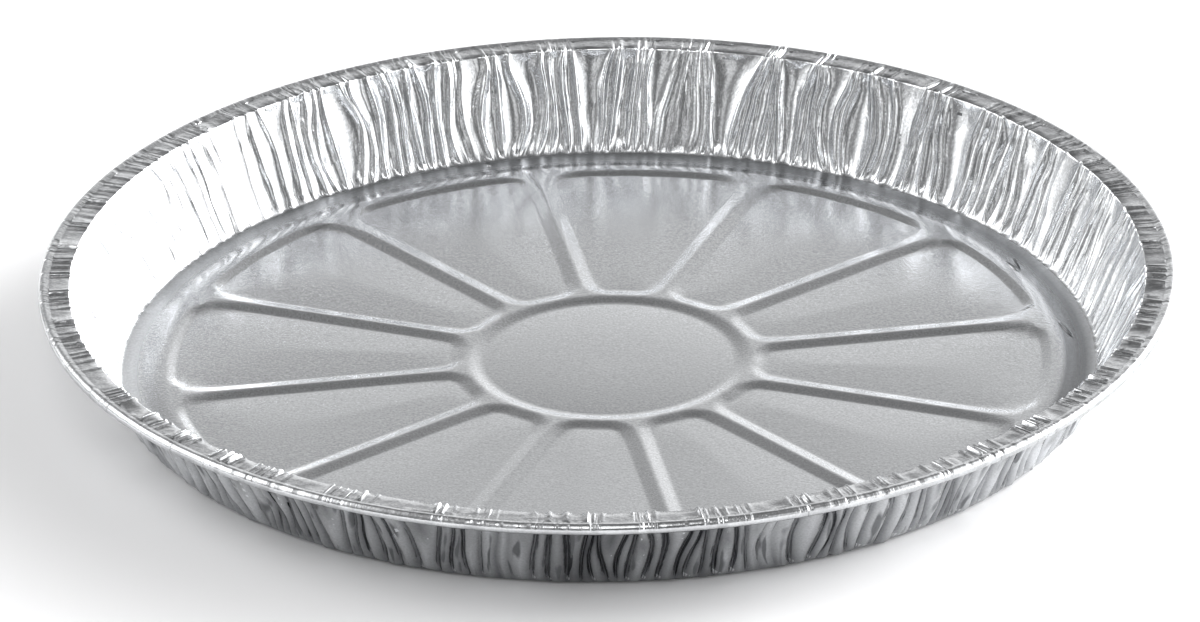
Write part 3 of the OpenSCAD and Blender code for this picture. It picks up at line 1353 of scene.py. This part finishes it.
@dataclass(frozen=True)
class FoilNodes:
    """Adds the nodes of the foil's material. Each method returns the socket of what it adds."""

    tree: bpy.types.NodeTree

    def mark(self, mark: PointMark) -> Socket:
        """Reads a mark of the sheet's points.

        Args:
            mark: Which mark.

        Returns:
            The mark, which is a place for UNROLLED and a number for the others.
        """
        node = self.tree.nodes.new("ShaderNodeAttribute")
        node.attribute_name = mark.value
        return node.outputs["Vector" if mark is PointMark.UNROLLED else "Fac"]

    def place(self) -> Socket:
        """Reads the place on the sheet, in metres."""
        return self.tree.nodes.new("ShaderNodeTexCoord").outputs["Object"]

    def along_wall(self, width: float, length: float) -> Socket:
        """Reads the place on the straightened wall.

        Args:
            width: Width of the pattern that is drawn there.
            length: Its length along the wall.

        Returns:
            The place, with its height times width / length, so that a
            pattern looked up there is drawn out along the wall.
        """
        stretch = self.tree.nodes.new("ShaderNodeMapping")
        stretch.inputs["Scale"].default_value = (1.0, 1.0, width / length)
        self.tree.links.new(self.mark(PointMark.UNROLLED), stretch.inputs["Vector"])
        return stretch.outputs["Vector"]

    def noise(self, place: Socket, size: float, detail: float) -> Socket:
        """Adds a noise.

        Args:
            place: The place that it is looked up at.
            size: Size of its coarsest grains in millimetres.
            detail: How many finer layers it has.

        Returns:
            The noise, from 0 to 1.
        """
        noise = self.tree.nodes.new("ShaderNodeTexNoise")
        noise.inputs["Scale"].default_value = 1.0 / (size * MM)
        noise.inputs["Detail"].default_value = detail
        self.tree.links.new(place, noise.inputs["Vector"])
        return noise.outputs["Fac"]

    def facets(self, size: float) -> Socket:
        """Adds facets as of crumpled foil.

        Args:
            size: About how far apart their middles lie, in millimetres.

        Returns:
            The distance to the nearest middle, as a share of the size.
        """
        cells = self.tree.nodes.new("ShaderNodeTexVoronoi")
        cells.inputs["Scale"].default_value = 1.0 / (size * MM)
        self.tree.links.new(self.place(), cells.inputs["Vector"])
        return cells.outputs["Distance"]

    def ramp(self, value: Socket, span: Range = (0.0, 1.0), ends: Range = (0.0, 1.0)) -> Socket:
        """Adds a straight ramp.

        Args:
            value: The value that it follows.
            span: Where the ramp starts and ends along that value.
            ends: Its heights there.

        Returns:
            The ramp's height.
        """
        ramp = self.tree.nodes.new("ShaderNodeMapRange")
        ramp.inputs["From Min"].default_value = span[0]
        ramp.inputs["From Max"].default_value = span[1]
        ramp.inputs["To Min"].default_value = ends[0]
        ramp.inputs["To Max"].default_value = ends[1]
        self.tree.links.new(value, ramp.inputs["Value"])
        return ramp.outputs["Result"]

    def joined(self, operation: str, first: Socket, second: Socket) -> Socket:
        """Adds an operation on two numbers.

        Args:
            operation: The name that the node has for it.
            first: The first number.
            second: The second number.

        Returns:
            The result.
        """
        node = self.tree.nodes.new("ShaderNodeMath")
        node.operation = operation
        self.tree.links.new(first, node.inputs[0])
        self.tree.links.new(second, node.inputs[1])
        return node.outputs["Value"]

    def blend(self, first: Socket | Colour, last: Colour, share: Socket) -> Socket:
        """Adds a blend of two colours.

        Args:
            first: The colour at share 0, or the socket that it comes from.
            last: The colour at share 1.
            share: How far the blend is from the first to the last.

        Returns:
            The blended colour.
        """
        blend = self.tree.nodes.new("ShaderNodeMix")
        blend.data_type = "RGBA"
        if isinstance(first, tuple):
            blend.inputs["A"].default_value = (*first, 1.0)
        else:
            self.tree.links.new(first, blend.inputs["A"])
        blend.inputs["B"].default_value = (*last, 1.0)
        self.tree.links.new(share, blend.inputs["Factor"])
        return blend.outputs["Result"]

    def bump(
        self,
        relief: Socket,
        height: float,
        base: Socket | None = None,
        strength: Socket | None = None,
        sunk: bool = False,
    ) -> Socket:
        """Adds a fine relief.

        Args:
            relief: The relief, from 0 to 1.
            height: Its height in millimetres.
            base: The normal that it stands on, if it isn't the mesh's own.
            strength: How strong it is, from 0 to 1, if it isn't whole.
            sunk: Whether it goes down and not up.

        Returns:
            The normal.
        """
        bump = self.tree.nodes.new("ShaderNodeBump")
        bump.invert = sunk
        bump.inputs["Distance"].default_value = height * MM
        self.tree.links.new(relief, bump.inputs["Height"])
        if base is not None:
            self.tree.links.new(base, bump.inputs["Normal"])
        if strength is not None:
            self.tree.links.new(strength, bump.inputs["Strength"])
        return bump.outputs["Normal"]


@dataclass(frozen=True)
class FoilFinish:
    """Satin aluminium foil, a little brighter where it was drawn up into the wall,
    whose colour is darkened by painted shade where the sheet's points carry it.

    A span is the part of a noise that a pattern follows.
    """

    colour: Colour = (0.90, 0.915, 0.935)
    # Colour that painted shade darkens the foil towards.
    hollow_colour: Colour = (0.09, 0.093, 0.1)
    floor_roughness: float = 0.21
    wall_roughness: float = 0.2
    margin_roughness: float = 0.29
    grain_size: float = 0.8
    grain_detail: float = 2.0
    grain_h: float = 0.035
    speckle_size: float = 0.55
    speckle_detail: float = 1.0
    speckle_span: Range = (0.25, 0.75)
    speckle: float = 0.22
    streak_w: float = 0.9
    streak_length: float = 7.0
    streak_detail: float = 3.0
    streak_h: float = 0.085
    pleat_w: float = 2.0
    pleat_length: float = 15.0
    pleat_detail: float = 1.0
    pleat_span: Range = (0.5, 0.68)
    # The pleats' depth, which the relief follows and which is also painted as shade on the outer face.
    pleat_depth_and_shade: float = 0.85
    pleat_h: float = 0.22
    crumple_size: float = 2.3
    crumple_h: float = 0.32
    mark_h: float = 0.6
    marks: tuple[PressMark, ...] = (
        PressMark(117.1, 35.2, -90.0, 6.0),
        PressMark(115.7, 33.3, -72.0, 4.6),
        PressMark(114.8, 7.9, 23.0, 2.5),
        PressMark(122.0, -6.6, -79.0, 5.9),
        PressMark(-12.4, 126.7, -89.0, 1.7),
        PressMark(-13.3, 118.9, -90.0, 1.4),
        PressMark(82.1, 90.7, -69.0, 1.7),
    )

    def material(self) -> bpy.types.Material:
        """Makes the foil's material.

        Returns:
            A metal with shade painted into its colour, most inside the folds,
            with a fine relief. Its roughness goes from the floor's to the wall's.
        """
        material = bpy.data.materials.new("foil")
        material.use_nodes = True
        tree = material.node_tree
        nodes = FoilNodes(tree)
        shader = tree.nodes["Principled BSDF"]
        shader.inputs["Metallic"].default_value = 1.0
        pleats = self._pleats(nodes)
        tree.links.new(self._colour(nodes, pleats), shader.inputs["Base Color"])
        tree.links.new(self._roughness(nodes), shader.inputs["Roughness"])
        tree.links.new(self._relief(nodes, pleats), shader.inputs["Normal"])
        return material

    def _pleats(self, nodes: FoilNodes) -> Socket:
        """Adds the fine pleats between the creases.

        Args:
            nodes: What adds the material's nodes.

        Returns:
            Their depth, which the relief follows and which is also painted as
            shade on the wall's outer face.
        """
        along = nodes.along_wall(self.pleat_w, self.pleat_length)
        noise = nodes.noise(along, self.pleat_w, self.pleat_detail)
        return nodes.ramp(noise, self.pleat_span, (0.0, self.pleat_depth_and_shade))

    def _colour(self, nodes: FoilNodes, pleats: Socket) -> Socket:
        """Adds the colour.

        Args:
            nodes: What adds the material's nodes.
            pleats: Depth of the fine pleats, also painted as shade on the outer face.

        Returns:
            The foil's speckled colour, darkened by painted shade: the deeper of
            the sheet's painted shade and, on the wall's outer face, the pleat's
            painted shade at each place.
        """
        # Painted shade of the fine pleats, on the wall's outer face alone.
        outer_pleat_shade = nodes.joined("MULTIPLY", pleats, nodes.mark(PointMark.OUTER))
        # Painted shade: the colour is darkened by the deeper of the two.
        depth = nodes.joined("MAXIMUM", nodes.mark(PointMark.PAINTED_SHADE), outer_pleat_shade)
        return nodes.blend(self._speckled(nodes), self.hollow_colour, depth)

    def _speckled(self, nodes: FoilNodes) -> Socket:
        """Adds the fine light and dark specks.

        Args:
            nodes: What adds the material's nodes.

        Returns:
            The foil's colour with them.
        """
        specks = nodes.noise(nodes.place(), self.speckle_size, self.speckle_detail)
        dark = tuple(c * (1.0 - self.speckle) for c in self.colour)
        return nodes.blend(dark, self.colour, nodes.ramp(specks, self.speckle_span))

    def _roughness(self, nodes: FoilNodes) -> Socket:
        """Adds the roughness.

        Args:
            nodes: What adds the material's nodes.

        Returns:
            The floor's roughness, going over to the wall's and to that of the
            dull margin.
        """
        ends = (self.floor_roughness, self.wall_roughness)
        plain = nodes.ramp(nodes.mark(PointMark.DRAWN), ends=ends)
        dull_and_shade = nodes.ramp(nodes.mark(PointMark.MARGIN), ends=(0.0, self.margin_roughness))
        nodes.tree.links.new(plain, dull_and_shade.node.inputs["To Min"])
        return dull_and_shade

    def _relief(self, nodes: FoilNodes, pleats: Socket) -> Socket:
        """Adds the fine relief.

        Args:
            nodes: What adds the material's nodes.
            pleats: Depth of the fine pleats.

        Returns:
            The normal with the floor's grain, the wall's streaks and pleats,
            the crumpled places and the small marks, one upon the other.
        """
        drawn = nodes.mark(PointMark.DRAWN)
        grain = nodes.noise(nodes.place(), self.grain_size, self.grain_detail)
        along = nodes.along_wall(self.streak_w, self.streak_length)
        streaks = nodes.noise(along, self.streak_w, self.streak_detail)
        normal = nodes.bump(grain, self.grain_h)
        normal = nodes.bump(streaks, self.streak_h, normal, drawn)
        normal = nodes.bump(pleats, self.pleat_h, normal, drawn, sunk=True)
        crumpled = nodes.mark(PointMark.CRUMPLED)
        normal = nodes.bump(nodes.facets(self.crumple_size), self.crumple_h, normal, crumpled)
        return nodes.bump(self._marked(nodes), self.mark_h, normal)

    def _marked(self, nodes: FoilNodes) -> Socket:
        """Adds the small marks on the floor.

        Args:
            nodes: What adds the material's nodes.

        Returns:
            The sum of their heights.
        """
        place = nodes.place()
        total = self.marks[0].add_to(nodes.tree, place)
        for mark in self.marks[1:]:
            total = nodes.joined("ADD", total, mark.add_to(nodes.tree, place))
        return total


@dataclass
class FoilTin:
    """The tin: its one pressed sheet and that sheet's finish."""

    size: TinSize
    finish: FoilFinish

    def build(self) -> bpy.types.Object:
        """Makes, dresses and seats the sheet that stands for the CAD node.

        Returns:
            The sheet's object.
        """
        sheet = FoilSheet(self.size).build()
        sheet.data.materials.append(self.finish.material())
        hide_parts("foil_tin")
        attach(sheet, "root")
        LOG.info("foil_sheet: %d points, %d faces", len(sheet.data.vertices), len(sheet.data.polygons))
        return sheet


@dataclass(frozen=True)
class PhotoCamera:
    """The camera, as worked out from the photograph, for a picture 1200 pixels wide."""

    distance: float = 2620.9
    elevation: float = math.radians(26.04)
    azimuth: float = VIEW_AZIMUTH
    yaw: float = 0.0008
    pitch: float = 0.0049
    roll: float = 0.0183
    focal_px: float = 9904.7
    width_px: float = 1200.0
    sensor: float = 36.0
    clip_end: float = 50000.0

    def build(self) -> bpy.types.Object:
        """Makes the camera and gives it to the scene.

        Returns:
            The camera, turned from a level view of the tin by its yaw, pitch and
            roll, and then round the tin.
        """
        place = Vector((0.0, -math.cos(self.elevation), math.sin(self.elevation))) * self.distance
        forward = -place.normalized()
        right = Vector((1.0, 0.0, 0.0))
        up = right.cross(forward)
        for axis_of, angle in ((2, self.yaw), (0, self.pitch), (1, self.roll)):
            axes = (right, forward, up)
            turn = Matrix.Rotation(angle, 3, axes[axis_of])
            right, forward, up = turn @ right, turn @ forward, turn @ up
        round_tin = Matrix.Rotation(self.azimuth, 3, "Z")
        basis = Matrix((right, up, -forward)).transposed()
        data = bpy.data.cameras.new("camera")
        data.sensor_width = self.sensor
        data.lens = self.focal_px / self.width_px * self.sensor
        data.clip_end = self.clip_end * MM
        camera = bpy.data.objects.new("camera", data)
        camera.matrix_world = Matrix.Translation(round_tin @ place * MM) @ (round_tin @ basis).to_4x4()
        bpy.context.scene.collection.objects.link(camera)
        bpy.context.scene.camera = camera
        return camera


@dataclass(frozen=True)
class SoftGlow:
    """A soft light far away. Azimuth 0 is behind the camera, 90 to its right, in degrees."""

    name: str
    azimuth: float
    elevation: float
    spread: float
    radiance: float

    def direction(self) -> Vector:
        """Where the glow lies.

        Returns:
            The unit vector from the tin towards its middle.
        """
        a = math.radians(self.azimuth) + VIEW_AZIMUTH
        e = math.radians(self.elevation)
        return Vector((math.sin(a) * math.cos(e), -math.cos(a) * math.cos(e), math.sin(e)))

    def add_to(self, tree: bpy.types.NodeTree, coordinate: Socket) -> Socket:
        """Adds the glow's nodes to a world.

        Args:
            tree: The world's nodes.
            coordinate: The direction that is looked up.

        Returns:
            The socket with the glow's light: its radiance times
            exp((cosine of the angle from its middle - 1) / (1 - cosine of its spread)).
        """
        toward = tree.nodes.new("ShaderNodeVectorMath")
        toward.operation = "DOT_PRODUCT"
        toward.label = self.name
        toward.inputs[1].default_value = self.direction()
        tree.links.new(coordinate, toward.inputs[0])
        slope = 1.0 / (1.0 - math.cos(math.radians(self.spread)))
        fall = tree.nodes.new("ShaderNodeMath")
        fall.operation = "MULTIPLY_ADD"
        fall.inputs[1].default_value = slope
        fall.inputs[2].default_value = -slope + math.log(self.radiance)
        tree.links.new(toward.outputs["Value"], fall.inputs[0])
        light = tree.nodes.new("ShaderNodeMath")
        light.operation = "EXPONENT"
        tree.links.new(fall.outputs["Value"], light.inputs[0])
        return light.outputs["Value"]


@dataclass
class Studio:
    """A pale floor, floor_half metres to each side, under plain soft light."""

    floor_half: float = 8.0
    floor_colour: Colour = (0.94, 0.94, 0.945)
    floor_roughness: float = 0.9
    floor_specular: float = 0.1
    ambient: float = 0.115
    glows: tuple[SoftGlow, ...] = (
        SoftGlow("key_right", 119.0, 6.0, 20.0, 36.0),
        SoftGlow("fill_right", 70.0, 11.0, 23.0, 2.7),
        SoftGlow("high_right", 102.0, 44.0, 18.0, 1.4),
        SoftGlow("back", 170.0, 4.0, 27.0, 1.0),
        SoftGlow("back_left", 231.0, 22.0, 15.0, 2.0),
        SoftGlow("fill_left", 272.0, 30.0, 24.0, 2.1),
        SoftGlow("front_left", 342.0, 20.0, 11.0, 0.84),
        SoftGlow("front_right", 37.0, 20.0, 13.0, 0.62),
        SoftGlow("front_high", 355.0, 53.0, 10.0, 5.0),
        SoftGlow("top", 350.0, 77.0, 8.0, 1.3),
        SoftGlow("high_left", 250.0, 42.0, 18.0, 2.6),
    )

    def build(self) -> None:
        """Makes the floor and the light."""
        self._build_floor()
        self._build_world()
        bpy.context.scene.view_settings.view_transform = "Standard"

    def _build_floor(self) -> None:
        """Makes the pale floor that the tin stands on."""
        half = self.floor_half
        mesh = bpy.data.meshes.new("studio_floor")
        corners = [(-half, -half, 0), (half, -half, 0), (half, half, 0), (-half, half, 0)]
        mesh.from_pydata(corners, [], [(0, 1, 2, 3)])
        floor = bpy.data.objects.new("studio_floor", mesh)
        bpy.context.scene.collection.objects.link(floor)
        material = bpy.data.materials.new("studio_floor")
        material.use_nodes = True
        shader = material.node_tree.nodes["Principled BSDF"]
        shader.inputs["Base Color"].default_value = (*self.floor_colour, 1.0)
        shader.inputs["Roughness"].default_value = self.floor_roughness
        shader.inputs["Specular IOR Level"].default_value = self.floor_specular
        mesh.materials.append(material)

    def _build_world(self) -> None:
        """Makes the light: an even ambient and the sum of the glows."""
        world = bpy.data.worlds.new("studio")
        world.use_nodes = True
        tree = world.node_tree
        coordinate = tree.nodes.new("ShaderNodeTexCoord").outputs["Generated"]
        total: Socket | None = None
        for glow in self.glows:
            light = glow.add_to(tree, coordinate)
            add = tree.nodes.new("ShaderNodeMath")
            add.operation = "ADD"
            add.inputs[1].default_value = self.ambient
            tree.links.new(light, add.inputs[0])
            if total is not None:
                tree.links.new(total, add.inputs[1])
            total = add.outputs["Value"]
        background = tree.nodes["Background"]
        background.inputs["Color"].default_value = (1.0, 1.0, 1.0, 1.0)
        tree.links.new(total, background.inputs["Strength"])
        bpy.context.scene.world = world


def main() -> None:
    """Builds the tin, its camera and its studio."""
    logging.basicConfig(level=logging.INFO, format="%(name)s: %(message)s")
    low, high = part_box("foil_tin")
    size = TinSize(rim_r=(high.x - low.x) / 2 / MM, depth=high.z / MM)
    PhotoCamera().build()
    Studio().build()
    FoilTin(size, FoilFinish()).build()


if __name__ == "__main__":
    main()
